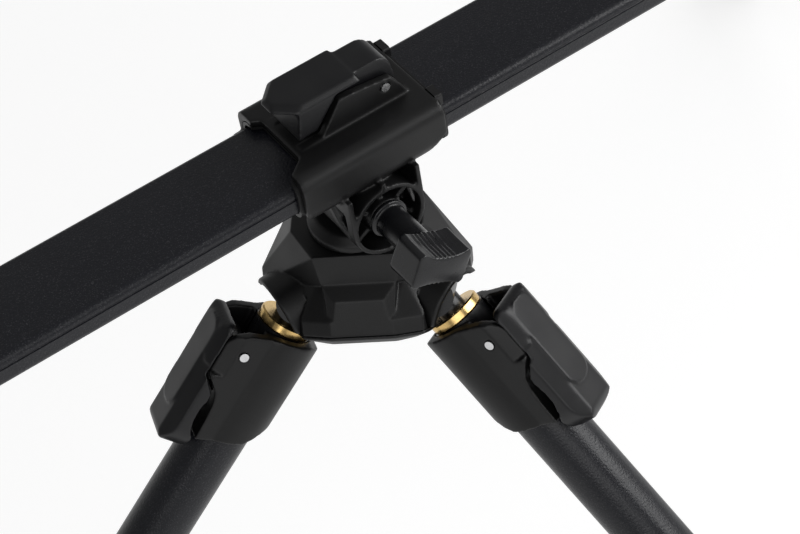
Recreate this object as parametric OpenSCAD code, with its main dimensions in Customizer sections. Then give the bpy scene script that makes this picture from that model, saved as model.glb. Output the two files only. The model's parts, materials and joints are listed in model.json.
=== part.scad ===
/* [Beam] */
// Length of the main beam
beam_l = 920; // [880:10:1100]
// Width of the main beam
beam_w = 36; // [32:1:42]
// Height of the beam
beam_h = 12; // [10:0.5:16]
// Rise of the domed top above the sides
beam_crown = 0.8; // [0.4:0.1:1.5]
// Wall of the beam's hollow section
beam_wall = 1.8; // [1.2:0.1:2.5]
// Radius of the beam's long edges
beam_edge_r = 3; // [2:0.25:4]
// Depth of the groove along each side of the beam
beam_groove = 0.6; // [0.3:0.1:1]

/* [Stance] */
// Distance between the two clamp units along the beam
hub_spacing = 500; // [460:10:540]
// Turn of each hub from square across the beam, degrees
swivel = 53; // [20:1:80]
// Lean of each pair of legs away from the upright, degrees
lean = 30; // [20:1:35]
// Spread of each leg from the middle of its pair, degrees
splay = 36; // [28:1:46]
// Length of a leg from its pivot to the middle of its foot
leg_reach = 380; // [340:5:440]

/* [Clamp collar] */
// Length of the collar along the beam
collar_l = 53; // [46:1:60]
// Wall of the collar
collar_wall = 2.6; // [2:0.1:4]
// Radius of the collar's lower long edges
collar_low_r = 8; // [5:0.5:9]
// Radius of the collar's upper long edges
collar_top_r = 5; // [3:0.5:6]
// Thickness of the plastic liner round the beam
liner_t = 1.2; // [0.8:0.1:2]
// Length of the liner's tabs past the collar
tab_l = 2.6; // [2:0.1:4]
// Width of the liner's tabs
tab_w = 6; // [4:0.5:8]

/* [Clamp lever] */
// Distance of the lever's pin from the middle of the collar
lever_pin_x = 14; // [12:0.5:16]
// Height of the lever's pin above the collar
lever_pin_rise = 6.5; // [6.3:0.1:7]
// Distance between the two cheeks that hold the lever
cheek_gap = 13.2; // [11:0.2:15]
// Thickness of each cheek
cheek_t = 2.9; // [2.5:0.1:4]
// Height of each cheek above the collar
cheek_h = 11.6; // [10.5:0.1:12]
// Thickness of the lever's finger pad
pad_t = 2.6; // [2:0.1:3.5]
// Length of the pad from the pin to its finger end
pad_reach = 37; // [34:0.5:40]
// Radius of the lever's pin
lever_pin_r = 1.6; // [1.2:0.1:2]

/* [Knuckle] */
// Depth of the lock screw's line below the middle of the beam
bolt_drop = 21.9; // [20:0.1:24]
// Distance of the knuckle's ring from the middle of the beam
ring_y = 24; // [23:0.5:26]
// Distance of the knuckle's back from the middle of the beam
lug_back = 14; // [12:0.5:18]
// Inner radius of the knuckle's ring
ring_r = 11.9; // [10.5:0.1:13]
// Wall of the knuckle's ring
ring_wall = 1.7; // [1.2:0.1:2.5]
// Depth of the recess inside the ring
ring_depth = 10; // [6:0.5:12]
// Radius of the boss inside the ring
boss_r = 6.6; // [6:0.1:8]
// Number of ribs between boss and ring
ring_ribs = 6; // [3:1:9]
// Thickness of the ribs and webs
web_t = 1.8; // [1.2:0.1:2.5]
// Radius of the round foot that turns on the hub
foot_flange_r = 16.5; // [15:0.5:18]
// Thickness of the foot's rim
foot_flange_t = 2.6; // [2:0.1:4]
// Depth of the foot's face below the middle of the beam
foot_drop = 40; // [39:0.5:42]
// Radius of the post that the hub swivels on
post_r = 6; // [5:0.25:7]

/* [Lock knob] */
// Radius of the lock screw
screw_r = 4; // [3:0.25:5]
// Width of the knob's head
knob_w = 20.5; // [18:0.5:24]
// Thickness of the knob's head
knob_t = 13.8; // [11:0.2:16]
// Depth of the knob's head along the screw
knob_d = 12.5; // [10:0.5:16]
// Distance of the knob's end from the middle of the beam
knob_y = 52.5; // [50:0.5:58]
// Turn of the knob about its screw, degrees
knob_turn = 27; // [0:1:90]
// Number of grip ridges on each long side of the knob
knob_ridges = 7; // [3:1:11]

/* [Hub] */
// Distance of each leg's pivot from the hub's middle plane
pivot_u = 22.6; // [21:0.1:25]
// Distance of the leg pivots in front of the swivel line
pivot_front = 7.1; // [5:0.1:9]
// Depth of the leg pivots below the middle of the beam
pivot_drop = 69; // [66:0.5:72]
// Half width of the hub's top
deck_u = 22; // [20:0.5:24]
// Outer radius of the leg sockets
lobe_r = 13.4; // [13:0.1:14.5]
// Distance of a socket's mouth from the leg's pivot
mouth_s = 9; // [8:0.25:9.5]
// Slant of a socket's mouth, measured like the spread of a leg, degrees
mouth_splay = 68; // [60:1:75]
// Turn of a socket's mouth towards the front, degrees
mouth_turn = 26; // [18:1:30]
// Distance of the front panel in front of the leg pivots
panel_n = 21.6; // [19:0.2:24]
// Half width of the front panel at the seam
panel_u = 10.5; // [9:0.5:11.5]
// Half width of the front panel at its upper edge
panel_top_u = 8.1; // [7:0.1:9]
// Half width of the front panel's top chamfer
chamfer_u = 12.4; // [12:0.1:13.5]
// Height of the front panel's upper edge above the leg pivots
panel_top = 3.9; // [3:0.1:5]
// Height of the top chamfer's upper edge above the leg pivots
chamfer_top = 9.2; // [8.5:0.1:10]
// Setback of the top chamfer's upper edge from the front panel
chamfer_in = 2.9; // [2:0.1:4]
// Gap round a socket's drum where it leaves the hub
drum_gap = 0.9; // [0.6:0.1:1.4]
// Depth of the seam between hub and base cover below the pivots
seam_drop = 8.5; // [7:0.25:10]
// Thickness of the base cover
cover_t = 3.6; // [2.5:0.1:5]
// Radius of a leg's pivot pin
pivot_pin_r = 2.5; // [2:0.1:3]

/* [Legs] */
// Outer radius of the outer leg tube
tube_r = 11; // [10:0.25:12]
// Wall of the outer leg tube
tube_wall = 1; // [0.8:0.1:1.3]
// Outer radius of the inner leg tube
inner_r = 9.5; // [8.5:0.1:9.7]
// Wall of the inner leg tube
inner_wall = 1.2; // [0.8:0.1:2]
// Distance from the pivot to the end of the inner tube
inner_end = 330; // [280:5:335]
// Radius of the brass collar
brass_r = 9.7; // [9:0.1:10]
// Height of the brass collar
brass_t = 3.5; // [2.5:0.1:4.5]
// Distance from the pivot to the brass collar
brass_s = 9.2; // [9:0.1:10]
// Radius of the rubber foot's ball end
foot_r = 14; // [13:0.5:18]
// Least spread that a socket leaves room for, degrees
splay_min = 24; // [20:1:28]
// Greatest spread that a socket leaves room for, degrees
splay_max = 66; // [50:1:68]

/* [Leg locks] */
// Turn of each leg's lock towards the front, degrees
lock_turn = 26; // [0:1:40]
// Radius of the lock housing
housing_r = 14.3; // [13.5:0.1:16]
// Half width of the housing's flat sides
housing_hw = 12.8; // [12.4:0.1:13.5]
// Distance of the lock lever's pin from the leg's middle line
lock_pin_x = 13; // [12.8:0.1:13.4]
// Distance of the lock lever's pin from the leg's pivot
lock_pin_s = 23.3; // [23:0.1:24.5]
// Radius of the lock lever's pin
lock_pin_r = 1.6; // [1.3:0.1:1.8]
// Half width of the lock lever
lock_lever_hw = 12.2; // [11:0.1:12.6]
// Half width of the tongue of the lock lever between the ears
tongue_hw = 8.4; // [7:0.1:8.6]
// Distance of the lever's face from the leg's middle line
lever_face = 23.6; // [23.2:0.1:24.4]
// Fall of the lever's side facets from its face
facet_drop = 3.4; // [2:0.2:4]
// Radius of the lever's finger end
lever_end_r = 11; // [8:0.5:11.5]
// Half width of the raised thumb rib
thumb_hw = 6.8; // [5:0.2:7.4]
// Rise of the thumb rib above the lever's face
thumb_rise = 0.8; // [0.5:0.1:1.2]
// Distance from the leg's pivot to the thumb rib's end
thumb_end = 55; // [48:1:56]

/* [Ends] */
// Radius of the alarm posts
alarm_post_r = 8; // [7:0.25:9]
// Length of the alarm posts
alarm_post_l = 130; // [110:5:180]
// Length of the cross bars
bar_l = 320; // [260:5:400]
// Width of the cross bars
bar_w = 22; // [18:0.5:26]
// Height of the cross bars
bar_h = 14; // [13.5:0.5:18]
// Distance between alarm sockets
socket_pitch = 130; // [100:5:150]
// Radius of a threaded alarm socket's wall
socket_r = 4.15; // [4:0.05:4.3]
// Depth of a threaded alarm socket
socket_d = 12; // [8:0.5:12]

/* [Hidden] */
$fn = 64;

// The two ends of the pod and the two sides of a pair of legs
front = 0;
rear = 1;
left = -1;
right = 1;

// Finishes
coat_black = [0.07, 0.07, 0.08];
moulded_black = [0.10, 0.10, 0.11];
lever_black = [0.08, 0.09, 0.11];
rubber_black = [0.05, 0.05, 0.05];
brass_gold = [0.80, 0.60, 0.25];
steel_grey = [0.75, 0.76, 0.78];

// Clearances: a running shaft, a fixed seat, a sliding face and a swinging face
run_gap = 0.05;
seat_gap = 0.05;
slide_gap = 0.3;
swing_gap = 0.7;

// Height of the middle of the beam above the ground
beam_z = foot_r + leg_reach * cos(splay) * cos(lean) + pivot_drop;

// Faces of the collar, seen along the beam
sleeve_grow = slide_gap + liner_t + seat_gap;
collar_hw = beam_w / 2 + sleeve_grow + collar_wall;
collar_top = beam_h / 2 + sleeve_grow + collar_wall;
collar_bottom = -(beam_h / 2 + sleeve_grow + collar_wall);
lever_pin_z = collar_top + lever_pin_rise;
cheek_out = cheek_gap / 2 + cheek_t;
cheek_top = collar_top + cheek_h;
pad_low = cheek_top + 3 * swing_gap;
lug_r = ring_r + ring_wall;
hub_top = -foot_drop - slide_gap;
slot_r = brass_r + swing_gap;
stud_r = 5;
eye_r = 7.3;
eye_hw = slot_r - 0.5;
cone_s = brass_s + brass_t + seat_gap;
cone_end = cone_s + 11.4;
cone_r = brass_r + 0.2;
seat_s = lock_pin_s + 7;
ear_x = lock_pin_x + 7.4;
boss_x = beam_l / 2 + 13;

// Corners of the hub's plan, from its ears to its back, and the deck's step inside the ears' upper edge
ear_u = 20.3;
ear_n = panel_n - 3.3;
flank_u = 25;
flank_n = 9;
back_u = 24;
back_y = slot_r + 2.6;
ear_top_u = 14.4;
ear_top_n = panel_n - 7.2;
ear_step = 0.12;

// Rim of a socket's mouth, how far its drum lies before the pivot, and the swivel post's seat in the hub
rim_t = 2.4;
rim_d = 3;
drum_fore = 2;
drum_sink = 0.6;
post_seat = 15;
post_end = 18;
post_head_r = post_r + 3;
post_top = 14;

// Stub of a leg in its inner tube, and the rubber foot on its outer tube
stud_plug = 25;
foot_l = 30;
foot_wall = 1.8;
foot_plug = 6;

// End block: sleeve on the beam, boss for the alarm post, and the screw that holds the post
block_l = 30;
block_wall = 4;
block_lap = 2;
block_boss_r = alarm_post_r + 4.5;
block_rise = 24;
block_drop = 16;
block_web = 18;
post_hang = 30;
post_screw_r = 3;
post_screw_z = 4;
screw_head_r = 7;
screw_head_t = 9;
bar_socket_l = 14;

// Long side hollows of the knuckle, with a slanted brace between them
hollow_top = 14;
hollow_low = 30;
hollow_front = 20;
hollow_back = 10;
brace_x = 9;
brace_w = 3;

// Finger end of the cheeks, its notch in the collar's top, and the slanted ends of the collar
finger_x = 19;
step_x = 10.6;
notch_x = 20.6;
notch_hw = 11;
corner_x = 23.6;
end_slant = 11;
finger_slant = 5;

// Lock lever's grip from its top to its finger end, measured along the leg
grip_top = 16;
grip_end = 66.6;

// Reach of a cut that runs right out of a piece
far = 2 * foot_drop;

// A flat shape turned up to run along the beam, and one turned up to face sideways
module along_x(length) {
    rotate([90, 0, 90]) linear_extrude(length, center = true) children();
}

module along_y(back, ahead) {
    translate([0, back, 0]) rotate([90, 0, 0]) linear_extrude(back + ahead) children();
}

module rod_y(r, half) {
    rotate([90, 0, 0]) cylinder(r = r, h = 2 * half, center = true);
}

module rod_down(r, from, to) {
    translate([0, 0, -to]) cylinder(r = r, h = to - from);
}

module soft_rect(w, h, r) {
    square([w - 2 * r, h], center = true);
    square([w, h - 2 * r], center = true);
    for (x = [-1, 1], y = [-1, 1])
        translate([x * (w / 2 - r), y * (h / 2 - r)]) circle(r);
}

// Places: a clamp unit, its hub, the plane of its legs, a leg with its pivot at the origin, and a lock
module in_unit(end) {
    rotate([0, 0, 180 * end]) translate([-hub_spacing / 2, 0, beam_z]) children();
}

module in_hub(end) {
    in_unit(end) rotate([0, 0, swivel - 90]) children();
}

module leg_plane() {
    translate([0, -pivot_front, -pivot_drop]) rotate([-lean, 0, 0]) children();
}

module leg_line(side, spread) {
    translate([side * pivot_u, 0, 0]) rotate([0, -side * spread, 0]) children();
}

module in_leg(end, side) {
    in_hub(end) leg_plane() leg_line(side, splay) children();
}

module in_lock(end, side) {
    in_leg(end, side) rotate([0, 0, side == right ? -lock_turn : 180 + lock_turn]) children();
}

// The beam's outline, grown by a margin
module sleeve_shape(grow) {
    soft_rect(beam_w + 2 * grow, beam_h + 2 * grow, beam_edge_r + grow);
}

module beam_shape() {
    side_h = beam_h - beam_crown;
    crown_w = beam_w - 2 * beam_edge_r;
    crown_r = (crown_w * crown_w / 4 + beam_crown * beam_crown) / (2 * beam_crown);
    translate([0, -beam_crown / 2]) soft_rect(beam_w, side_h, beam_edge_r);
    intersection() {
        translate([0, beam_h / 2 - crown_r]) circle(crown_r, $fn = 360);
        translate([-crown_w / 2, 0]) square([crown_w, beam_h]);
    }
}

module main_beam() {
    groove_z = beam_h / 2 - beam_crown - beam_edge_r - beam_groove;
    color(coat_black) translate([0, 0, beam_z]) along_x(beam_l)
        difference() {
            beam_shape();
            translate([0, -beam_crown / 2])
                soft_rect(beam_w - 2 * beam_wall, beam_h - beam_crown - 2 * beam_wall, beam_edge_r - 1);
            for (side = [-1, 1])
                translate([side * beam_w / 2, groove_z]) circle(beam_groove);
        }
}

module collar_shape() {
    tall = 60;
    intersection() {
        translate([0, collar_bottom + tall / 2]) soft_rect(2 * collar_hw, tall, collar_low_r);
        translate([0, collar_top - tall / 2]) soft_rect(2 * collar_hw, tall, collar_top_r);
    }
}

// Side view of a cheek: a low finger end, a slanted step and a sloped end past the pin
module cheek_shape() {
    base = collar_top - 1;
    polygon([[-finger_x, base], [0.7 - finger_x, collar_top + 0.3], [-step_x, collar_top + 0.6],
        [lever_pin_x - 16.4, cheek_top],
        [lever_pin_x - 9, cheek_top - 0.7], [lever_pin_x + 2.5, cheek_top - 2.3],
        [lever_pin_x + 5, lever_pin_z - 0.9],
        [lever_pin_x + 8.7, base]]);
}

// Knuckle under the collar: a ring with a ribbed recess and open corners, on a round foot
module knuckle() {
    top = collar_bottom + 4;
    difference() {
        along_y(lug_back, ring_y) {
            translate([0, -bolt_drop]) circle(lug_r);
            translate([-lug_r, -bolt_drop]) square([2 * lug_r, bolt_drop + top]);
        }
        translate([0, 0, -bolt_drop]) rotate([90, 0, 0])
            translate([0, 0, ring_y - ring_depth])
                difference() {
                    cylinder(r = ring_r, h = ring_depth + 1);
                    translate([0, 0, -1]) cylinder(r = boss_r, h = ring_depth - 1);
                    for (i = [0 : ring_ribs - 1])
                        rotate([0, 0, 90 + i * 360 / ring_ribs])
                            translate([0, -web_t / 2, -1]) cube([ring_r + 1, web_t, ring_depth - 3]);
                }
        for (side = [-1, 1])
            along_y(ring_depth - ring_y, ring_y + 1)
                difference() {
                    translate([side > 0 ? web_t / 2 : web_t - lug_r, -bolt_drop])
                        square([lug_r - 1.5 * web_t, bolt_drop + top + 1]);
                    translate([0, -bolt_drop]) circle(lug_r);
                }
        for (side = [-1, 1])
            translate([side * lug_r, 0, 0]) rotate([90, 0, 90])
                linear_extrude(2 * web_t, center = true) {
                    polygon([[-hollow_front, -hollow_top], [-brace_x, -hollow_top],
                        [-hollow_front, brace_w - hollow_low]]);
                    polygon([[brace_w - brace_x, -hollow_top], [hollow_back, -hollow_top],
                        [hollow_back, -hollow_low], [brace_w - hollow_front, -hollow_low]]);
                }
    }
    rotate_extrude()
        polygon([[0, -foot_drop], [foot_flange_r, -foot_drop], [foot_flange_r, foot_flange_t - foot_drop],
            [lug_r, 2.2 * foot_flange_t - foot_drop], [0, 2.2 * foot_flange_t - foot_drop]]);
}

module clamp_collar(end) {
    color(moulded_black) in_unit(end) difference() {
        union() {
            difference() {
                along_x(collar_l) collar_shape();
                along_y(collar_hw + 1, collar_hw + 1) {
                    polygon([[collar_l / 2 + 1, -1], [collar_l / 2 + 1, collar_bottom - 1],
                        [collar_l / 2 - end_slant, collar_bottom - 1]]);
                    polygon([[-collar_l / 2 - 1, -4], [-collar_l / 2 - 1, collar_bottom - 1],
                        [finger_slant - collar_l / 2, collar_bottom - 1]]);
                }
            }
            knuckle();
            for (side = [-1, 1])
                translate([0, side * (cheek_gap + cheek_t) / 2, 0])
                    along_y(cheek_t / 2, cheek_t / 2) cheek_shape();
        }
        finger_notch();
        along_x(collar_l + 2) sleeve_shape(sleeve_grow);
        translate([lever_pin_x, 0, lever_pin_z]) rod_y(lever_pin_r + seat_gap, cheek_out + 1);
        rod_down(post_r + run_gap, post_top, foot_drop + 1);
        translate([0, 0, -bolt_drop]) rotate([90, 0, 0]) cylinder(r = screw_r + run_gap, h = ring_y + 1);
    }
}

// Room for a finger under the lever: the collar's top is cut back between its two corners
module finger_notch() {
    linear_extrude(collar_top + 1)
        polygon([[-collar_l / 2 - 2, -17.4], [-notch_x, -notch_hw], [-notch_x, notch_hw],
            [-corner_x, notch_hw + 2], [-corner_x, collar_hw + 1], [-collar_l / 2 - 2, collar_hw + 1]]);
}

module collar_liner(end) {
    lip = 1.2;
    tab_y = 14.5;
    start = collar_l / 2 + seat_gap;
    color(moulded_black) in_unit(end) difference() {
        union() {
            along_x(collar_l + 2 * lip) sleeve_shape(slide_gap + liner_t);
            translate([start + lip / 2, 0, 0]) along_x(lip) sleeve_shape(slide_gap + liner_t + 1);
            for (side = [-1, 1])
                translate([start + tab_l / 2, side * tab_y, collar_top - collar_wall])
                    along_x(tab_l) soft_rect(tab_w, 2 * collar_wall, 1);
        }
        finger_notch();
        along_x(collar_l + 6 * tab_l) sleeve_shape(slide_gap);
    }
}

// Plan of the finger pad, with cut corners at its finger end
module pad_plan(inset) {
    tip = lever_pin_x - pad_reach + inset;
    nose = lever_pin_x - 8 - inset / 2;
    hw = cheek_out - 0.2 - inset;
    corner = 6.2;
    polygon([[tip, -(hw - corner)], [tip + corner, -hw], [nose, -hw], [nose, hw], [tip + corner, hw],
        [tip, hw - corner]]);
}

module clamp_lever(end) {
    hw = cheek_out - 0.2;
    tongue = cheek_gap / 2 - slide_gap;
    bevel = 1.6;
    top = pad_low + pad_t;
    nose_r = 6.2;
    color(lever_black) in_unit(end) difference() {
        union() {
            hull() {
                translate([0, 0, pad_low]) linear_extrude(0.8) pad_plan(0);
                translate([0, 0, pad_low]) linear_extrude(pad_t) pad_plan(bevel);
            }
            along_y(hw, hw)
                polygon([[-16.6, pad_low + 0.1], [-18.4, collar_top + 3.8], [-11.6, collar_top + 4.2],
                    [lever_pin_x - 16.8, pad_low], [lever_pin_x - 16.8, pad_low + 0.1]]);
            along_y(tongue, tongue) {
                translate([lever_pin_x, lever_pin_z]) circle(lever_pin_rise - swing_gap);
                translate([lever_pin_x - 1, top - nose_r - 0.4]) circle(nose_r);
                polygon([[-15, collar_top + 3.9], [-15, pad_low + 0.1], [lever_pin_x - 9, pad_low + 0.1],
                    [lever_pin_x - 9, top - 0.4], [lever_pin_x - 1, top - 0.4],
                    [lever_pin_x, collar_top + swing_gap],
                    [lever_pin_x - 6, collar_top + 1.5]]);
            }
        }
        translate([lever_pin_x, 0, lever_pin_z]) rod_y(lever_pin_r + run_gap, cheek_out + 1);
    }
}

module clamp_lever_pin(end) {
    color(steel_grey) in_unit(end) translate([lever_pin_x, 0, lever_pin_z])
        rod_y(lever_pin_r, cheek_out + 0.3);
}

// Cross section of the knob's head: a block with hollowed long sides and rounded ends
module knob_shape() {
    hollow_r = 30;
    dip = 1.4;
    difference() {
        soft_rect(knob_w, knob_t, 2.5);
        for (side = [-1, 1])
            translate([0, side * (knob_t / 2 + hollow_r - dip)]) circle(hollow_r);
    }
    for (side = [-1, 1], i = [0 : knob_ridges - 1])
        translate([(i - (knob_ridges - 1) / 2) * 1.7, side * (knob_t / 2 - dip)]) circle(0.6);
}

module lock_knob(end) {
    head_y = knob_y - knob_d;
    neck_r = screw_r + 1.5;
    tip_y = post_r + run_gap;
    color(lever_black) in_unit(end) translate([0, 0, -bolt_drop]) rotate([90, 0, 0]) {
        translate([0, 0, tip_y]) cylinder(r = screw_r, h = head_y - tip_y);
        translate([0, 0, ring_y - 1.6]) cylinder(r = boss_r + 0.2, h = 1.4);
        translate([0, 0, ring_y - 0.3]) cylinder(r = neck_r, h = head_y - ring_y + 1);
        translate([0, 0, head_y]) rotate([0, 0, -knob_turn]) linear_extrude(knob_d) knob_shape();
    }
}

module swivel_post(end) {
    groove_d = 0.6;
    color(steel_grey) in_hub(end) difference() {
        union() {
            rod_down(post_r, post_top + 0.6, foot_drop + post_end);
            rod_down(post_head_r, foot_drop + post_seat, foot_drop + post_end);
        }
        translate([0, 0, -bolt_drop]) rotate_extrude()
            translate([post_r + 3 - groove_d, 0]) circle(3);
    }
}

// A socket's own line, set forward of the leg's pivot, with its mouth turned towards the front
module socket_line(side) {
    translate([side * pivot_u, -drum_fore, -drum_sink]) rotate([0, 0, -side * mouth_turn])
        rotate([0, -side * mouth_splay, 0]) children();
}

// Room for a leg to swing in its socket, from its least to its greatest spread
module swing_room(side) {
    hull()
        for (spread = [splay_min, (splay_min + splay_max) / 2, splay_max])
            leg_line(side, spread) rod_down(slot_r, 3, 36, $fn = 32);
    translate([side * pivot_u, 0, 0]) rod_y(eye_r + swing_gap, slot_r);
}

module socket_lobe(side) {
    rim_r = rim_t / 3;
    socket_line(side) rotate([180, 0, 0]) rotate_extrude() {
        translate([0, -10]) square([lobe_r, 10 + mouth_s - rim_r]);
        translate([0, -10]) square([lobe_r - rim_r, 10 + mouth_s]);
        translate([lobe_r - rim_r, mouth_s - rim_r]) circle(rim_r);
    }
}

// A thin upright slice across the hub, with its outline given as seen from the front
module hub_slice(depth) {
    translate([0, depth, 0]) along_y(0, 0.1) children();
}

// Plan of the hub at its seam: front panel, two slanted ears and the back
module base_plan(inset) {
    mirrored()
        polygon([[0, -panel_n + inset], [panel_u, -panel_n + inset], [ear_u - inset, -ear_n + inset],
            [flank_u - inset, -flank_n], [back_u - inset, back_y - inset], [0, back_y - inset]]);
}

// Plan of the hub at the upper edge of its ears
module ear_plan() {
    mirrored()
        polygon([[0, -ear_top_n], [ear_top_u, -ear_top_n], [pivot_u + 0.3, -flank_n], [flank_u + 1, 2],
            [back_u - 2, back_y], [0, back_y]]);
}

module mirrored() {
    children();
    mirror([1, 0, 0]) children();
}

module chamfer_edge(inset) {
    hub_slice(chamfer_in - panel_n + inset) translate([inset - chamfer_u, chamfer_top - 0.2 - inset])
        square([2 * (chamfer_u - inset), 0.2]);
}

module hub_core() {
    flush_t = 5.3;
    hull() {
        hub_slice(0.1 - panel_n)
            polygon([[-panel_top_u, panel_top], [panel_top_u, panel_top],
                [panel_u, -seam_drop], [-panel_u, -seam_drop]]);
        chamfer_edge(0);
        hub_slice(0) translate([-chamfer_u, -seam_drop]) square([2 * chamfer_u, seam_drop + 14]);
    }
    hull() {
        translate([0, 0, -seam_drop]) linear_extrude(flush_t) base_plan(0);
        translate([0, 0, chamfer_top - 0.2]) linear_extrude(0.2) ear_plan();
    }
}

module hub_shoulders() {
    deck_t = 5;
    deck_front = foot_flange_r + 0.5;
    deck_end = 14;
    rear_u = pivot_u + lobe_r - 0.4;
    hull() {
        translate([0, 0, hub_top - deck_t]) linear_extrude(deck_t)
            mirrored()
                polygon([[0, 20], [deck_end, 20], [deck_u, 11], [deck_u, -4],
                    [deck_end, -deck_front], [0, -deck_front]]);
        leg_plane() {
            chamfer_edge(ear_step);
            translate([0, 0, chamfer_top - 2 * ear_step]) linear_extrude(10 * ear_step)
                offset(delta = -ear_step) ear_plan();
            translate([-rear_u, 2, deck_t]) cube([2 * rear_u, slot_r + 0.4, deck_t]);
        }
    }
}

// Groove that sets the front of a socket's drum off from its ear
module drum_groove(side) {
    intersection() {
        socket_line(side) rod_down(lobe_r + drum_gap, 0, mouth_s + 1);
        translate([-far, -far, -far]) cube([2 * far, far - 3, far + chamfer_top - 1.5]);
    }
}

module hub_body(end) {
    color(moulded_black) in_hub(end) difference() {
        union() {
            difference() {
                union() {
                    leg_plane() hub_core();
                    hub_shoulders();
                }
                for (side = [left, right])
                    leg_plane() {
                        socket_line(side) translate([-far, -far, -mouth_s - far]) cube([2 * far, 2 * far, far]);
                        drum_groove(side);
                    }
            }
            for (side = [left, right])
                leg_plane() socket_lobe(side);
        }
        for (side = [left, right])
            leg_plane() {
                swing_room(side);
                socket_line(side) rod_down(lobe_r - rim_t, mouth_s - rim_d, mouth_s + 1);
                translate([side * pivot_u, 0, 0]) rod_y(pivot_pin_r + seat_gap, slot_r + 2);
            }
        rod_down(post_r + seat_gap, foot_drop, foot_drop + post_seat);
        rod_down(post_head_r + seat_gap, foot_drop + post_seat - seat_gap, foot_drop + post_end + seat_gap);
        leg_plane() translate([-far, -far, -seam_drop - far]) cube([2 * far, 2 * far, far]);
    }
}

module hub_cover(end) {
    bevel = 4;
    color(moulded_black) in_hub(end) leg_plane() difference() {
        hull() {
            translate([0, 0, -seam_drop - seat_gap - 1]) linear_extrude(1) base_plan(0);
            translate([0, 0, -seam_drop - cover_t]) linear_extrude(1) base_plan(bevel);
        }
        for (side = [left, right])
            swing_room(side);
    }
}

module leg_pivot_pins(end) {
    color(steel_grey) in_hub(end) leg_plane()
        for (side = [left, right])
            translate([side * pivot_u, 0, 0]) rod_y(pivot_pin_r, slot_r + 1.9);
}

module leg_stud(end, side) {
    color(lever_black) in_leg(end, side) difference() {
        union() {
            rod_y(eye_r, eye_hw);
            rod_down(stud_r, 0, cone_s + 1);
            translate([0, 0, -cone_end]) cylinder(r1 = inner_r, r2 = cone_r, h = cone_end - cone_s);
            rod_down(inner_r - inner_wall - seat_gap, cone_end - 1, cone_end + stud_plug);
        }
        rod_y(pivot_pin_r + run_gap, eye_hw + 1);
    }
}

module brass_collar(end, side) {
    edge = 0.5;
    color(brass_gold) in_leg(end, side) rotate([180, 0, 0]) rotate_extrude()
        polygon([[stud_r + seat_gap, brass_s], [brass_r - edge, brass_s], [brass_r, brass_s + edge],
            [brass_r, brass_s + brass_t - edge], [brass_r - edge, brass_s + brass_t],
            [stud_r + seat_gap, brass_s + brass_t]]);
}

module inner_tube(end, side) {
    color(coat_black) in_leg(end, side) difference() {
        rod_down(inner_r, cone_end + seat_gap, inner_end);
        rod_down(inner_r - inner_wall, cone_end, inner_end + 1);
    }
}

// Side view of the lock housing: slanted top, ear for the pin, S-shaped step and slanted foot
module housing_side() {
    back = -housing_r - 1;
    polygon([[back, -16.5], [-12.5, -13.2], [-8, -12], [4, -13], [lock_pin_x + 1.5, 7.7 - lock_pin_s],
        [lock_pin_x + 5.2, 5.7 - lock_pin_s], [lock_pin_x + 7, 2.9 - lock_pin_s], [ear_x, 1.3 - lock_pin_s],
        [ear_x, -33.8], [17.4, -37], [15, -39.6], [13.6, -44], [13, -50], [12.6, -58.5], [-4, -54], [-9, -49.5],
        [back, -45.5]]);
}

module lock_housing(end, side) {
    ear_gap = tongue_hw + 0.4;
    pocket_x = tube_r + 1.6;
    deep = 8.4;
    color(moulded_black) in_lock(end, side) difference() {
        intersection() {
            translate([0, 0, -far]) linear_extrude(far) {
                circle(housing_r);
                translate([ear_x / 2, 0]) soft_rect(ear_x, 2 * housing_hw, 2);
            }
            along_y(housing_r + 1, housing_r + 1) housing_side();
        }
        rod_down(cone_r + 0.5, 0, cone_end + 0.6);
        rod_down(inner_r + run_gap, 0, far);
        rod_down(tube_r + seat_gap, seat_s, far);
        along_y(ear_gap, ear_gap)
            polygon([[deep, 5 - lock_pin_s], [deep, 9 - lock_pin_s], [ear_x + 1, 13 - lock_pin_s],
                [ear_x + 1, -40.6],
                [pocket_x, -40.6], [pocket_x, -seat_s], [deep, 1 - seat_s]]);
        for (face = [-1, 1])
            translate([0, 0, -33]) linear_extrude(33)
                polygon([[lock_pin_x + 2.2, face * (housing_hw + 0.3)], [ear_x + 1, face * (housing_hw + 0.3)],
                    [ear_x + 1, face * (housing_hw - 3.2)]]);
        translate([lock_pin_x, 0, -lock_pin_s]) rod_y(lock_pin_r + seat_gap, housing_r + 1);
    }
}

// Side view of the lock lever's grip, from its slanted top to its rounded finger end
module lever_side() {
    inner_x = ear_x + 0.4;
    polygon([[inner_x, -18.2], [lever_face - 2.4, -16.4], [lever_face - 1.2, -16.6], [lever_face - 0.4, -18.2],
        [lever_face + 0.5, -24], [lever_face + 0.5, 5.8 - grip_end], [lever_face - 0.3, 3.6 - grip_end],
        [lever_face - 1.5, 1.8 - grip_end], [lever_face - 3.4, 0.5 - grip_end], [lever_face - 5.6, -grip_end],
        [14.8, 0.1 - grip_end], [tube_r + 1.4, 3.2 - grip_end], [12.8, -59.6],
        [14.8, -56.5], [16.2, -52.5], [16.4, -48], [15.8, -44.5], [15.5, -42.2], [16, -40.4], [inner_x, -35]]);
}

// The grip seen from outside: small corners at its top and a round finger end
module grip_plan() {
    top_r = 5;
    grip_l = grip_end - grip_top;
    translate([0, -(grip_top + grip_end) / 2]) intersection() {
        soft_rect(2 * lock_lever_hw, grip_l, top_r);
        translate([0, lever_end_r]) soft_rect(2 * lock_lever_hw, grip_l + 2 * lever_end_r, lever_end_r);
    }
}

// The grip seen along the leg: a flat face between two slanted side facets
module lever_across(rise) {
    hw = lock_lever_hw;
    polygon([[0, -hw], [lever_face - facet_drop, -hw], [lever_face + rise, -thumb_hw - 0.4],
        [lever_face + rise, thumb_hw + 0.4], [lever_face - facet_drop, hw], [0, hw]]);
}

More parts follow.
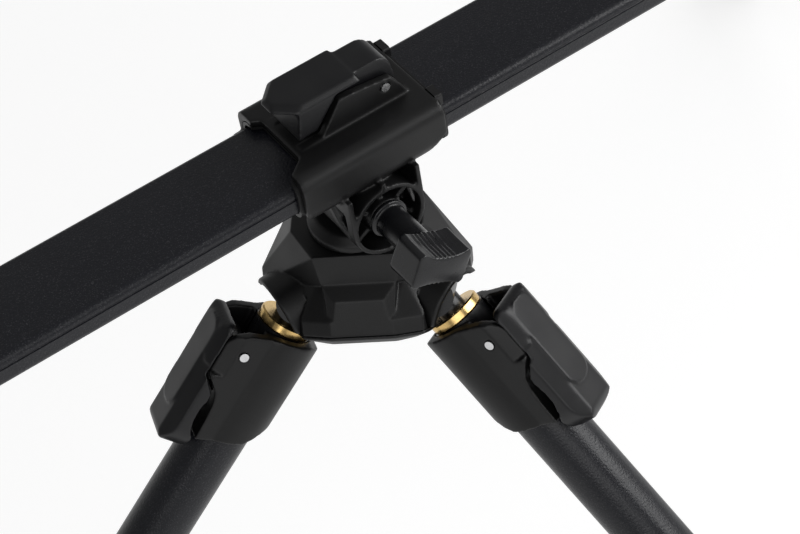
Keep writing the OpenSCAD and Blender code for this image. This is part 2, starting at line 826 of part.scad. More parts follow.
module lock_lever(end, side) {
    color(lever_black) in_lock(end, side) difference() {
        union() {
            intersection() {
                along_y(lock_lever_hw, lock_lever_hw) lever_side();
                rotate([90, 0, 90]) linear_extrude(far) grip_plan();
                translate([0, 0, -far]) linear_extrude(far) lever_across(0);
            }
            intersection() {
                translate([ear_x + 1, 0, -(grip_top + thumb_end) / 2]) rotate([90, 0, 90]) linear_extrude(far)
                    soft_rect(2 * thumb_hw, thumb_end - grip_top - 3, thumb_hw - 1);
                translate([0, 0, -far]) linear_extrude(far) lever_across(thumb_rise);
            }
            along_y(tongue_hw, tongue_hw) {
                translate([lock_pin_x, -lock_pin_s]) circle(2.8);
                polygon([[lock_pin_x - 1.6, -2.3 - lock_pin_s], [lock_pin_x + 0.8, -33.5], [15.2, -37.5],
                    [ear_x + 1, -37.5], [ear_x + 1, -18.6], [lock_pin_x + 2, 3.7 - lock_pin_s],
                    [lock_pin_x - 0.6, 2.7 - lock_pin_s]]);
            }
        }
        translate([lock_pin_x, 0, -lock_pin_s]) rod_y(lock_pin_r + run_gap, housing_r);
    }
}

module lock_pin(end, side) {
    color(steel_grey) in_lock(end, side) translate([lock_pin_x, 0, -lock_pin_s])
        rod_y(lock_pin_r, housing_hw + 0.3);
}

module outer_tube(end, side) {
    color(coat_black) in_leg(end, side) difference() {
        rod_down(tube_r, seat_s + seat_gap, leg_reach - foot_plug);
        rod_down(tube_r - tube_wall, seat_s, leg_reach);
    }
}

module leg_foot(end, side) {
    color(rubber_black) in_leg(end, side) difference() {
        union() {
            rod_down(tube_r + foot_wall, leg_reach - foot_l, leg_reach);
            translate([0, 0, -leg_reach]) sphere(foot_r);
        }
        rod_down(tube_r + seat_gap, leg_reach - foot_l - 1, leg_reach - foot_plug + seat_gap);
    }
}

module in_end(end) {
    rotate([0, 0, 180 * end]) mirror([1, 0, 0]) translate([0, 0, beam_z]) children();
}

module end_block(end) {
    color(moulded_black) in_end(end) difference() {
        union() {
            translate([beam_l / 2 - block_l / 2 + block_lap, 0, 0]) along_x(block_l)
                soft_rect(beam_w + 2 * block_wall, beam_h + 2 * block_wall, block_wall + 1);
            translate([boss_x, 0, -block_drop]) cylinder(r = block_boss_r, h = block_drop + block_rise);
            translate([beam_l / 2 + block_lap, -block_boss_r, -block_web / 2])
                cube([boss_x - beam_l / 2, 2 * block_boss_r, block_web]);
        }
        translate([-seat_gap / 2, 0, 0]) along_x(beam_l + 3 * seat_gap) sleeve_shape(seat_gap);
        translate([boss_x, 0, -far / 2]) cylinder(r = alarm_post_r + run_gap, h = far);
        translate([boss_x, 0, post_screw_z]) rotate([0, 90, 0]) cylinder(r = post_screw_r + run_gap, h = far);
    }
}

module alarm_post(end) {
    color(coat_black) in_end(end) translate([boss_x, 0, -post_hang])
        cylinder(r = alarm_post_r, h = alarm_post_l);
}

module cross_bar(end) {
    low = alarm_post_l - post_hang;
    color(coat_black) in_end(end) translate([boss_x, 0, low]) difference() {
        union() {
            translate([0, 0, bar_h / 2 + 1]) rotate([90, 0, 0])
                linear_extrude(bar_l, center = true) soft_rect(bar_w, bar_h, 4);
            translate([0, 0, -bar_socket_l])
                cylinder(r = alarm_post_r + block_wall, h = bar_socket_l + block_wall);
        }
        translate([0, 0, -bar_socket_l - 1])
            cylinder(r = alarm_post_r + seat_gap, h = bar_socket_l + 1 + seat_gap);
        for (i = [-1 : 1])
            translate([0, i * socket_pitch, bar_h + 1 - socket_d]) cylinder(r = socket_r, h = socket_d + 1);
    }
}

module post_screw(end) {
    lobes = 3;
    tip = boss_x + alarm_post_r + run_gap;
    head = boss_x + block_boss_r + 3;
    color(lever_black) in_end(end) translate([0, 0, post_screw_z]) rotate([0, 90, 0]) {
        translate([0, 0, tip]) cylinder(r = post_screw_r, h = head + 1 - tip);
        translate([0, 0, head]) linear_extrude(screw_head_t) {
            circle(screw_head_r);
            for (i = [0 : lobes - 1])
                rotate(i * 360 / lobes) translate([screw_head_r - 1, 0]) circle(screw_head_r / 2 + 0.5);
        }
    }
}

main_beam();
clamp_collar(front);  // clamp_collar_front
clamp_collar(rear);  // clamp_collar_rear
collar_liner(front);  // collar_liner_front
collar_liner(rear);  // collar_liner_rear
clamp_lever(front);  // clamp_lever_front
clamp_lever(rear);  // clamp_lever_rear
clamp_lever_pin(front);  // clamp_lever_pin_front
clamp_lever_pin(rear);  // clamp_lever_pin_rear
lock_knob(front);  // lock_knob_front
lock_knob(rear);  // lock_knob_rear
swivel_post(front);  // swivel_post_front
swivel_post(rear);  // swivel_post_rear
hub_body(front);  // hub_body_front
hub_body(rear);  // hub_body_rear
hub_cover(front);  // hub_cover_front
hub_cover(rear);  // hub_cover_rear
leg_pivot_pins(front);  // leg_pivot_pins_front
leg_pivot_pins(rear);  // leg_pivot_pins_rear
leg_stud(front, left);  // leg_stud_front_left
leg_stud(front, right);  // leg_stud_front_right
leg_stud(rear, left);  // leg_stud_rear_left
leg_stud(rear, right);  // leg_stud_rear_right
brass_collar(front, left);  // brass_collar_front_left
brass_collar(front, right);  // brass_collar_front_right
brass_collar(rear, left);  // brass_collar_rear_left
brass_collar(rear, right);  // brass_collar_rear_right
inner_tube(front, left);  // inner_tube_front_left
inner_tube(front, right);  // inner_tube_front_right
inner_tube(rear, left);  // inner_tube_rear_left
inner_tube(rear, right);  // inner_tube_rear_right
lock_housing(front, left);  // lock_housing_front_left
lock_housing(front, right);  // lock_housing_front_right
lock_housing(rear, left);  // lock_housing_rear_left
lock_housing(rear, right);  // lock_housing_rear_right
lock_lever(front, left);  // lock_lever_front_left
lock_lever(front, right);  // lock_lever_front_right
lock_lever(rear, left);  // lock_lever_rear_left
lock_lever(rear, right);  // lock_lever_rear_right
lock_pin(front, left);  // lock_pin_front_left
lock_pin(front, right);  // lock_pin_front_right
lock_pin(rear, left);  // lock_pin_rear_left
lock_pin(rear, right);  // lock_pin_rear_right
outer_tube(front, left);  // outer_tube_front_left
outer_tube(front, right);  // outer_tube_front_right
outer_tube(rear, left);  // outer_tube_rear_left
outer_tube(rear, right);  // outer_tube_rear_right
leg_foot(front, left);  // leg_foot_front_left
leg_foot(front, right);  // leg_foot_front_right
leg_foot(rear, left);  // leg_foot_rear_left
leg_foot(rear, right);  // leg_foot_rear_right
end_block(front);  // end_block_front
end_block(rear);  // end_block_rear
alarm_post(front);  // alarm_post_front
alarm_post(rear);  // alarm_post_rear
cross_bar(front);  // cross_bar_front
cross_bar(rear);  // cross_bar_rear
post_screw(front);  // post_screw_front
post_screw(rear);  // post_screw_rear
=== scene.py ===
"""Looks of a rod pod: softened mouldings, powder coated metal, brass and steel, on a pale studio floor."""

import functools
import json
import math

import bmesh
import bpy
from bpy.props import FloatProperty, FloatVectorProperty, IntProperty, PointerProperty
from mathutils import Matrix, Vector

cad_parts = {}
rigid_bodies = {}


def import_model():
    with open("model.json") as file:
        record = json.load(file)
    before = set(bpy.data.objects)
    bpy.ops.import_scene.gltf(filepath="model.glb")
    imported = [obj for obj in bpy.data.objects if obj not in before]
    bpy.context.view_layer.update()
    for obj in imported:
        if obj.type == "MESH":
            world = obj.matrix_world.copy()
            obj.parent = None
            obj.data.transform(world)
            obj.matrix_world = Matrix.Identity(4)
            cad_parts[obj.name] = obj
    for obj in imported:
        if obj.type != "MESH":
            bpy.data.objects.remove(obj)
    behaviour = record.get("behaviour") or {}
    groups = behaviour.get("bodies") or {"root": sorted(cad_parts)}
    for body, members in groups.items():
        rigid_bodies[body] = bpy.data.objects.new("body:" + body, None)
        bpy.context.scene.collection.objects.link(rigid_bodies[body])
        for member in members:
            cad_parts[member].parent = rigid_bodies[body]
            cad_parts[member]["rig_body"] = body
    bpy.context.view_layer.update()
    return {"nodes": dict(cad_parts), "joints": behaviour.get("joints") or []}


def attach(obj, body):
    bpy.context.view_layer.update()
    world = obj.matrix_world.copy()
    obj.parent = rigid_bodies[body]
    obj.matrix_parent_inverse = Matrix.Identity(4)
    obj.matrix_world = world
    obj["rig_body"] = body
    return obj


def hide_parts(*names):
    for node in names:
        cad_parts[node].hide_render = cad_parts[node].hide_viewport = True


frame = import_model()

bl_info = {
    "name": "Rod Pod",
    "version": (1, 0, 0),
    "blender": (4, 5, 0),
    "location": "View3D > Sidebar > Rod Pod",
    "description": "Dresses a rod pod's parts with softened mouldings and finishes",
    "category": "Object",
}

ENDS = ("front", "rear")
LEGS = ("front_left", "front_right", "rear_left", "rear_right")
UP = Vector((0.0, 0.0, 1.0))
MM = 0.001

# Hood at the top of a lock lever, in millimetres from its pin: points of the side, outwards and up the leg
HEAD_SIDE = (
    (10.2, -8.0), (11.3, -5.5), (11.3, 3.0), (10.8, 5.6), (9.8, 7.2), (8.4, 7.9),
    (6.0, 7.8), (6.8, 6.2), (7.8, 4.6), (8.6, 2.3), (8.8, 0.0), (8.8, -8.0),
)
HEAD_TOP = 7.9
HEAD_CORNER = 4.5
HEAD_CORNER_START = 6.9
HEAD_FACE = 11.3
HEAD_FACE_FLAT = 7.0
HEAD_FACE_SLOPE = 0.72
HEAD_SLICE = 0.95
HEAD_SLICES_EACH_SIDE = 12

# Softening of the mouldings
MERGE_DISTANCE = 1e-6
SMOOTHING = 0.5
MOST_ROUNDS = 40
KNOB_END_DEPTH = 0.004
KNOB_HOLLOW_RISE = 3.0

# Patterns of the finishes
CLOUD_LOW = 0.3
CLOUD_HIGH = 0.7
TOOL_MARK_SHADE = 0.82

# Studio
FLOOR_REACH = 15.0
FLOOR_DROP = 0.0005
DOME_LOW = 0.2
DOME_HIGH = 0.75
SOFTBOX_SIZE = (1.6, 0.7)
SOFTBOX_AIM = (-0.25, 0.0, 0.3)
RIGHT_SOFTBOX = (0.85, -0.55, 0.9)
FRONT_SOFTBOX = (-0.85, -1.1, 0.9)
SENSOR_WIDTH = 36.0
NEAREST_SEEN = 0.02
FARTHEST_SEEN = 50.0


def colour_property(name, description, default):
    """A colour that a user may change."""
    return FloatVectorProperty(
        name=name, description=description, subtype="COLOR", size=3, min=0.0, max=1.0, default=default
    )


def share_property(name, description, default):
    """A number from 0 to 1 that a user may change."""
    return FloatProperty(
        name=name, description=description, subtype="FACTOR", min=0.0, max=1.0, default=default
    )


def length_property(name, description, default):
    """A length in metres that a user may change."""
    return FloatProperty(
        name=name,
        description=description,
        subtype="DISTANCE",
        unit="LENGTH",
        min=0.0,
        precision=5,
        default=default,
    )


def rounds_property(name, description, default):
    """A count of smoothing rounds that a user may change."""
    return IntProperty(name=name, description=description, min=0, max=MOST_ROUNDS, default=default)


def angle_property(name, description, degrees):
    """An angle that a user may change."""
    return FloatProperty(name=name, description=description, subtype="ANGLE", default=math.radians(degrees))


def strength_property(name, description, default):
    """A strength of light, above 0, that a user may change."""
    return FloatProperty(name=name, description=description, min=0.0, default=default)


def power_property(name, description, default):
    """A lamp's power in watts that a user may change."""
    return FloatProperty(name=name, description=description, subtype="POWER", min=0.0, default=default)


class PodFinishes(bpy.types.PropertyGroup):
    """Colours and gloss of the pod's finishes."""

    coat: colour_property("Coat", "Colour of the powder coat", (0.0042, 0.0047, 0.0078))
    # Colour of the coat's pale flecks: partly real specks of the coat, partly painted glints standing in
    # for its sparkle.
    coat_fleck_and_glint: colour_property("Coat fleck and glint", "Colour of the coat's fine flecks and painted glints", (0.035, 0.035, 0.04))
    coat_roughness: share_property("Coat roughness", "Roughness of the powder coat", 0.31)
    moulded: colour_property("Moulding", "Colour of the satin mouldings", (0.0045, 0.0045, 0.0047))
    moulded_pale: colour_property("Moulding, pale", "Colour of rubbed mouldings", (0.012, 0.012, 0.0125))
    moulded_roughness: share_property("Moulding roughness", "Roughness of the satin mouldings", 0.41)
    lever: colour_property("Lever", "Colour of the levers", (0.004, 0.0041, 0.0052))
    lever_roughness: share_property("Lever roughness", "Roughness of the levers", 0.37)
    gloss: colour_property("Gloss", "Colour of the glossy knobs and cones", (0.004, 0.0042, 0.0055))
    gloss_roughness: share_property("Gloss roughness", "Roughness of the glossy pieces", 0.27)
    brass: colour_property("Brass", "Colour of the turned brass", (0.87, 0.6, 0.24))
    brass_roughness: share_property("Brass roughness", "Roughness of the brass", 0.2)
    steel: colour_property("Steel", "Colour of the bright steel", (0.82, 0.82, 0.83))
    steel_roughness: share_property("Steel roughness", "Roughness of the steel", 0.25)
    rubber: colour_property("Rubber", "Colour of the rubber feet", (0.008, 0.008, 0.008))
    rubber_roughness: share_property("Rubber roughness", "Roughness of the rubber", 0.75)


class PodSoftness(bpy.types.PropertyGroup):
    """How fine the softened mouldings are, and how round their edges."""

    body_grid: length_property("Body grid", "Mesh size of collars, housings and blocks", 0.0005)
    hub_grid: length_property("Hub grid", "Mesh size of the hubs", 0.00034)
    lever_grid: length_property("Lever grid", "Mesh size of levers and covers", 0.00042)
    knob_grid: length_property("Knob grid", "Mesh size of the knobs", 0.00032)
    body_rounds: rounds_property("Body rounds", "Smoothing rounds of bodies", 5)
    hub_rounds: rounds_property("Hub rounds", "Smoothing rounds of hubs", 8)
    lever_rounds: rounds_property("Lever rounds", "Smoothing rounds of levers", 14)
    knob_rounds: rounds_property("Knob rounds", "Smoothing rounds of knobs", 12)
    kept: share_property("Kept", "Share of the faces kept after thinning", 0.35)
    knob_head: length_property("Knob head", "Length of a lock knob's head", 0.0125)
    knob_bulge: length_property("Knob bulge", "How far the end of a lock knob bulges", 0.0016)
    knob_hollow: share_property("Knob hollow", "Share by which a lock knob's sides are hollowed", 0.16)


class PodStage(bpy.types.PropertyGroup):
    """Camera, floor and light."""

    eye: FloatVectorProperty(
        name="Eye",
        description="Place of the camera",
        subtype="TRANSLATION",
        size=3,
        default=(-0.4709, -0.4593, 0.8268),
    )
    heading: angle_property("Heading", "Turn of the view about the upright", 26.93)
    dip: angle_property("Dip", "How far the view looks down", 46.92)
    roll: angle_property("Roll", "Tilt of the picture", 10.53)
    lens: FloatProperty(name="Lens", description="Focal length in millimetres", min=10.0, default=98.85)
    floor: colour_property("Floor", "Colour of the floor", (0.86, 0.86, 0.86))
    floor_glow: share_property("Floor glow", "Share of the glow in the floor's look", 0.5)
    floor_seen: strength_property("Floor seen", "Glow of the floor to the camera", 1.42)
    floor_mirrored: strength_property("Floor mirrored", "Glow of the floor in mirrored light", 0.98)
    sky: share_property("Sky", "Strength of the light from above", 0.4)
    horizon: share_property("Horizon", "Strength of the light from near the horizon", 0.28)
    right_power: power_property("Right softbox", "Power of the softbox on the right", 16.0)
    front_power: power_property("Front softbox", "Power of the softbox in front", 5.5)


def link(obj):
    """Puts a new object into the scene."""
    bpy.context.scene.collection.objects.link(obj)
    return obj


def finishes():
    """The values of the finishes."""
    return bpy.context.scene.pod_finishes


def softness():
    """The values of the softened mouldings."""
    return bpy.context.scene.pod_softness


def stage_values():
    """The values of the stage."""
    return bpy.context.scene.pod_stage


class Nodes:
    """A node tree under construction, and short ways to add and join its nodes."""

    def __init__(self, tree):
        self.tree = tree

    def node(self, kind, **values):
        """A new node with its values set."""
        made = self.tree.nodes.new(kind)
        for key, value in values.items():
            setattr(made, key, value)
        return made

    def join(self, source, target):
        """Leads one socket into another."""
        self.tree.links.new(source, target)

    def spread(self, value, low, high, start, end):
        """Maps a value that runs from low to high onto start to end."""
        made = self.node("ShaderNodeMapRange")
        made.inputs["From Min"].default_value = low
        made.inputs["From Max"].default_value = high
        made.inputs["To Min"].default_value = start
        made.inputs["To Max"].default_value = end
        self.join(value, made.inputs["Value"])
        return made.outputs["Result"]

    def mix_shaders(self, share, first, second):
        """A shader between two others."""
        made = self.node("ShaderNodeMixShader")
        self.join(share, made.inputs["Fac"])
        self.join(first, made.inputs[1])
        self.join(second, made.inputs[2])
        return made.outputs["Shader"]


class Finish(Nodes):
    """A piece's material under construction."""

    def __init__(self, name):
        self.material = bpy.data.materials.new(name)
        self.material.use_nodes = True
        super().__init__(self.material.node_tree)
        self.shader = self.tree.nodes["Principled BSDF"]
        self.place = self.node("ShaderNodeTexCoord").outputs["Object"]

    def noise(self, scale, detail=2.0, roughness=0.5):
        """A random pattern fixed to the piece."""
        made = self.node("ShaderNodeTexNoise")
        made.inputs["Scale"].default_value = scale
        made.inputs["Detail"].default_value = detail
        made.inputs["Roughness"].default_value = roughness
        self.join(self.place, made.inputs["Vector"])
        return made.outputs["Fac"]

    def clouded(self, cloud, start, end):
        """A value that runs from start to end with a cloudy pattern."""
        return self.spread(cloud, CLOUD_LOW, CLOUD_HIGH, start, end)

    def blend(self, share, first, second):
        """A colour between two others."""
        made = self.node("ShaderNodeMix", data_type="RGBA")
        for socket in made.inputs:
            if socket.type == "RGBA" and socket.name == "A":
                socket.default_value = (*first, 1.0)
            if socket.type == "RGBA" and socket.name == "B":
                socket.default_value = (*second, 1.0)
        self.join(share, made.inputs["Factor"])
        return next(socket for socket in made.outputs if socket.type == "RGBA")

    def bump(self, height, strength, distance):
        """The surface's direction, disturbed by a pattern of heights."""
        made = self.node("ShaderNodeBump")
        made.inputs["Strength"].default_value = strength
        made.inputs["Distance"].default_value = distance
        self.join(height, made.inputs["Height"])
        return made.outputs["Normal"]

    def surface(self, colour, roughness, normal, metallic=0.0, specular=0.5):
        """Joins the patterns to the surface and gives the finished material."""
        self.join(colour, self.shader.inputs["Base Color"])
        self.join(roughness, self.shader.inputs["Roughness"])
        self.join(normal, self.shader.inputs["Normal"])
        self.shader.inputs["Metallic"].default_value = metallic
        self.shader.inputs["Specular IOR Level"].default_value = specular
        return self.material


def coat_finish():
    """Satin black powder coat with a fine orange peel and pale flecks, which are partly real specks and
    partly painted glints.
    """
    values = finishes()
    made = Finish("powder_coat")
    # Pale flecks painted into the colour: partly real specks of the coat, partly painted glints standing in
    # for its sparkle in highlights.
    fleck_and_glint = made.spread(made.noise(scale=2600.0, detail=1.0), low=0.6, high=0.7, start=0.0, end=1.0)
    colour = made.blend(fleck_and_glint, values.coat, values.coat_fleck_and_glint)
    cloud = made.noise(scale=35.0, detail=3.0)
    roughness = made.clouded(cloud, values.coat_roughness - 0.03, values.coat_roughness + 0.04)
    peel = made.bump(made.noise(scale=1300.0), strength=0.4, distance=0.0003)
    return made.surface(colour, roughness, peel, specular=0.4)


def moulded_finish():
    """Satin moulded plastic with a fine spark grain, paler where edges are rubbed."""
    values = finishes()
    made = Finish("moulded_plastic")
    edges = made.node("ShaderNodeNewGeometry").outputs["Pointiness"]
    worn = made.spread(edges, low=0.52, high=0.6, start=0.0, end=1.0)
    cloud = made.noise(scale=60.0, detail=3.0)
    rubbed = made.node("ShaderNodeMath", operation="MULTIPLY")
    made.join(worn, rubbed.inputs[0])
    made.join(cloud, rubbed.inputs[1])
    colour = made.blend(rubbed.outputs["Value"], values.moulded, values.moulded_pale)
    roughness = made.clouded(cloud, values.moulded_roughness - 0.05, values.moulded_roughness + 0.05)
    grain = made.bump(made.noise(scale=2200.0), strength=0.22, distance=0.00015)
    return made.surface(colour, roughness, grain, specular=0.35)


def lever_finish():
    """Smoother blue-black moulding of the levers."""
    values = finishes()
    made = Finish("lever_plastic")
    cloud = made.noise(scale=80.0, detail=3.0)
    colour = made.blend(made.clouded(cloud, start=0.0, end=0.5), values.lever, values.moulded_pale)
    roughness = made.clouded(cloud, values.lever_roughness - 0.04, values.lever_roughness + 0.04)
    grain = made.bump(made.noise(scale=2600.0), strength=0.14, distance=0.00012)
    return made.surface(colour, roughness, grain, specular=0.38)


def gloss_finish():
    """Glossy black of the knobs and the cones under the brass."""
    values = finishes()
    made = Finish("gloss_black")
    cloud = made.noise(scale=90.0, detail=3.0)
    colour = made.blend(made.clouded(cloud, start=0.0, end=0.4), values.gloss, values.moulded_pale)
    roughness = made.clouded(cloud, values.gloss_roughness - 0.05, values.gloss_roughness + 0.05)
    grain = made.bump(made.noise(scale=900.0, detail=3.0), strength=0.06, distance=0.0001)
    return made.surface(colour, roughness, grain, specular=0.45)


def metal_finish(name, colour, roughness, scale):
    """Bright turned metal with fine tool marks."""
    made = Finish(name)
    marks = made.noise(scale, detail=4.0, roughness=0.65)
    tint = made.blend(marks, colour, [TOOL_MARK_SHADE * channel for channel in colour])
    rough = made.clouded(marks, roughness - 0.04, roughness + 0.06)
    grain = made.bump(marks, strength=0.08, distance=0.00008)
    return made.surface(tint, rough, grain, metallic=1.0)


def rubber_finish():
    """Matt rubber of the feet."""
    values = finishes()
    made = Finish("foot_rubber")
    dust = made.noise(scale=220.0, detail=4.0)
    dusty = made.spread(dust, low=0.4, high=0.75, start=0.0, end=0.6)
    colour = made.blend(dusty, values.rubber, values.moulded_pale)
    roughness = made.clouded(dust, values.rubber_roughness - 0.06, values.rubber_roughness + 0.06)
    grain = made.bump(made.noise(scale=1400.0), strength=0.3, distance=0.0002)
    return made.surface(colour, roughness, grain, specular=0.3)


def finish_named(name):
    """The material of that name, made the first time that it is asked for."""
    values = finishes()
    makers = {
        "powder_coat": coat_finish,
        "moulded_plastic": moulded_finish,
        "lever_plastic": lever_finish,
        "gloss_black": gloss_finish,
        "turned_brass": lambda: metal_finish(name, values.brass, values.brass_roughness, scale=900.0),
        "bright_steel": lambda: metal_finish(name, values.steel, values.steel_roughness, scale=700.0),
        "foot_rubber": rubber_finish,
    }
    return bpy.data.materials.get(name) or makers[name]()


def dress(node, finish):
    """Gives a part of the frame its finish."""
    slots = frame["nodes"][node].data.materials
    slots.clear()
    slots.append(finish_named(finish))


def body_of(node):
    """The body that carries a part."""
    return frame["nodes"][node]["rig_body"]


def joint_named(name):
    """The record of a joint."""
    return next(joint for joint in frame["joints"] if joint["name"] == name)


def extrude_through(bm, rings):
    """Extrudes the first ring of points through the others to a closed shape."""
    face = bm.faces.new([bm.verts.new(point) for point in rings[0]])
    for ring in rings[1:]:
        made = bmesh.ops.extrude_face_region(bm, geom=[face, *face.edges])["geom"]
        face = next(part for part in made if isinstance(part, bmesh.types.BMFace))
        for vertex, point in zip(face.verts, ring):
            vertex.co = point


def corner_dip(beyond, radius):
    """How far a rounded corner has fallen off at a distance beyond its start."""
    inside = max(0.0, beyond)
    return radius - math.sqrt(max(0.0, radius * radius - inside * inside))


def add_lever_head(bm, leg):
    """The hood at the top of a lock lever, which clears the leg's neck when the lever is open."""
    pin = joint_named("lock_lever_turn_" + leg)
    down = Vector(joint_named("leg_extend_" + leg)["axis"])
    across = Vector(pin["axis"])
    out = across.cross(down)
    rings = []
    for step in range(-HEAD_SLICES_EACH_SIDE, HEAD_SLICES_EACH_SIDE + 1):
        y = HEAD_SLICE * step
        top = HEAD_TOP - corner_dip(abs(y) - HEAD_CORNER_START, HEAD_CORNER)
        face = HEAD_FACE - HEAD_FACE_SLOPE * max(0.0, abs(y) - HEAD_FACE_FLAT)
        ring = []
        for x, z in HEAD_SIDE:
            place = min(x, face) * out - min(z, top) * down + y * across
            ring.append(Vector(pin["pos_m"]) + MM * place)
        rings.append(ring)
    extrude_through(bm, rings)


def pillow_knob(piece, end):
    """Bulges the end of a lock knob and hollows its ridged sides."""
    values = softness()
    joint = joint_named("knob_turn_" + end)
    out = Vector(joint["axis"])
    middle = Vector(joint["pos_m"])
    flat = out.cross(UP)
    places = [vertex.co - middle for vertex in piece.data.vertices]
    reach = max(place.dot(out) for place in places)
    spots = [place for place in places if place.dot(out) > reach - KNOB_END_DEPTH]
    across = [(spot.dot(flat), spot.z) for spot in spots]
    lean = 0.5 * math.atan2(2.0 * sum(x * z for x, z in across), sum(x * x - z * z for x, z in across))
    wide = math.cos(lean) * flat + math.sin(lean) * UP
    thin = out.cross(wide)
    half_wide = max(abs(spot.dot(wide)) for spot in spots)
    half_thin = max(abs(spot.dot(thin)) for spot in spots)
    for vertex, place in zip(piece.data.vertices, places):
        head = min(1.0, max(0.0, (place.dot(out) - reach + values.knob_head) / values.knob_head))
        crown = max(0.0, 1.0 - (place.dot(wide) / half_wide) ** 2)
        dome = max(0.0, 1.0 - (place.dot(thin) / half_thin) ** 2)
        vertex.co += values.knob_bulge * head * head * crown * dome * out
        hollow = values.knob_hollow * min(1.0, KNOB_HOLLOW_RISE * head) * crown
        vertex.co -= hollow * place.dot(thin) * thin


def soften(node, kind, finish, add=None):
    """Makes a moulding from a part: the same shape with every edge rounded, as it leaves its mould."""
    values = softness()
    mesh = frame["nodes"][node].data.copy()
    mesh.materials.clear()
    bm = bmesh.new()
    bm.from_mesh(mesh)
    bmesh.ops.remove_doubles(bm, verts=bm.verts, dist=MERGE_DISTANCE)
    if add is not None:
        add(bm)
    bm.to_mesh(mesh)
    bm.free()
    piece = link(bpy.data.objects.new(node + "_moulding", mesh))
    cells = piece.modifiers.new("Cells", "REMESH")
    cells.mode = "VOXEL"
    cells.voxel_size = getattr(values, kind + "_grid")
    rounded = piece.modifiers.new("Rounded", "SMOOTH")
    rounded.factor = SMOOTHING
    rounded.iterations = getattr(values, kind + "_rounds")
    thinned = piece.modifiers.new("Thinned", "DECIMATE")
    thinned.ratio = values.kept
    done = piece.evaluated_get(bpy.context.evaluated_depsgraph_get())
    piece.data = bpy.data.meshes.new_from_object(done)
    piece.modifiers.clear()
    bpy.data.meshes.remove(mesh)
    piece.data.shade_smooth()
    piece.data.materials.append(finish_named(finish))
    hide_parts(node)
    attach(piece, body_of(node))
    return piece


class POD_OT_beam(bpy.types.Operator):
    """Coats the main beam"""

    bl_idname = "pod.beam"
    bl_label = "Beam"

    def execute(self, context):
        dress("main_beam", "powder_coat")
        return {"FINISHED"}


class POD_OT_clamps(bpy.types.Operator):
    """Makes the clamp collars, their liners, levers, pins and lock knobs"""

    bl_idname = "pod.clamps"
    bl_label = "Clamps"

    def execute(self, context):
        for end in ENDS:
            soften("clamp_collar_" + end, "body", "moulded_plastic")
            soften("clamp_lever_" + end, "lever", "lever_plastic")
            knob = soften("lock_knob_" + end, "knob", "gloss_black")
            pillow_knob(knob, end)
            dress("collar_liner_" + end, "moulded_plastic")
            dress("clamp_lever_pin_" + end, "bright_steel")
        return {"FINISHED"}


class POD_OT_hubs(bpy.types.Operator):
    """Makes the swivel hubs with their base covers, posts and pins"""

    bl_idname = "pod.hubs"
    bl_label = "Hubs"

    def execute(self, context):
        for end in ENDS:
            soften("hub_body_" + end, "hub", "moulded_plastic")
            soften("hub_cover_" + end, "lever", "moulded_plastic")
            dress("swivel_post_" + end, "bright_steel")
            dress("leg_pivot_pins_" + end, "bright_steel")
        return {"FINISHED"}


class POD_OT_legs(bpy.types.Operator):
    """Finishes the legs: studs, brass collars, tubes and feet"""

    bl_idname = "pod.legs"
    bl_label = "Legs"

    def execute(self, context):
        for leg in LEGS:
            dress("leg_stud_" + leg, "gloss_black")
            dress("brass_collar_" + leg, "turned_brass")
            dress("inner_tube_" + leg, "powder_coat")
            dress("outer_tube_" + leg, "powder_coat")
            dress("leg_foot_" + leg, "foot_rubber")
        return {"FINISHED"}


class POD_OT_locks(bpy.types.Operator):
    """Makes the leg locks: housings, levers and pins"""

    bl_idname = "pod.locks"
    bl_label = "Leg locks"

    def execute(self, context):
        for leg in LEGS:
            soften("lock_housing_" + leg, "body", "moulded_plastic")
            head = functools.partial(add_lever_head, leg=leg)
            soften("lock_lever_" + leg, "lever", "lever_plastic", head)
            dress("lock_pin_" + leg, "bright_steel")
        return {"FINISHED"}


class POD_OT_ends(bpy.types.Operator):
    """Makes the ends of the beam: blocks, posts, screws and cross bars"""

    bl_idname = "pod.ends"
    bl_label = "Ends"

    def execute(self, context):
        for end in ENDS:
            soften("end_block_" + end, "body", "moulded_plastic")
            soften("post_screw_" + end, "knob", "gloss_black")
            dress("alarm_post_" + end, "powder_coat")
            dress("cross_bar_" + end, "powder_coat")
        return {"FINISHED"}


def background_ray(made):
    """One for rays that see the background: from the camera, mirrored or passing through glass."""
    path = made.node("ShaderNodeLightPath")
    total = path.outputs["Is Camera Ray"]
    for name in ("Is Glossy Ray", "Is Transmission Ray"):
        larger = made.node("ShaderNodeMath", operation="MAXIMUM")
        made.join(total, larger.inputs[0])
        made.join(path.outputs[name], larger.inputs[1])
        total = larger.outputs["Value"]
    return total


def floor_finish():
    """A matt floor with a glow that only rays to the background see, so that it keeps a shadow."""
    values = stage_values()
    material = bpy.data.materials.new("pale_floor")
    material.use_nodes = True
    material.node_tree.nodes.clear()
    made = Nodes(material.node_tree)
    matt = made.node("ShaderNodeBsdfDiffuse")
    matt.inputs["Color"].default_value = (*values.floor, 1.0)
    seen = made.node("ShaderNodeLightPath").outputs["Is Camera Ray"]
    strength = made.spread(seen, 0.0, 1.0, values.floor_mirrored, values.floor_seen)
    glow = made.node("ShaderNodeEmission")
    made.join(strength, glow.inputs["Strength"])
    share = made.node("ShaderNodeMath", operation="MULTIPLY")
    share.inputs[1].default_value = values.floor_glow
    made.join(background_ray(made), share.inputs[0])
    look = made.mix_shaders(share.outputs["Value"], matt.outputs["BSDF"], glow.outputs["Emission"])
    made.join(look, made.node("ShaderNodeOutputMaterial").inputs["Surface"])
    return material


def make_floor():
    """A pale floor just below the feet."""
    bm = bmesh.new()
    bmesh.ops.create_grid(bm, x_segments=1, y_segments=1, size=FLOOR_REACH)
    bmesh.ops.translate(bm, verts=bm.verts, vec=-FLOOR_DROP * UP)
    mesh = bpy.data.meshes.new("studio_floor")
    bm.to_mesh(mesh)
    bm.free()
    floor = link(bpy.data.objects.new("studio_floor", mesh))
    mesh.materials.append(floor_finish())


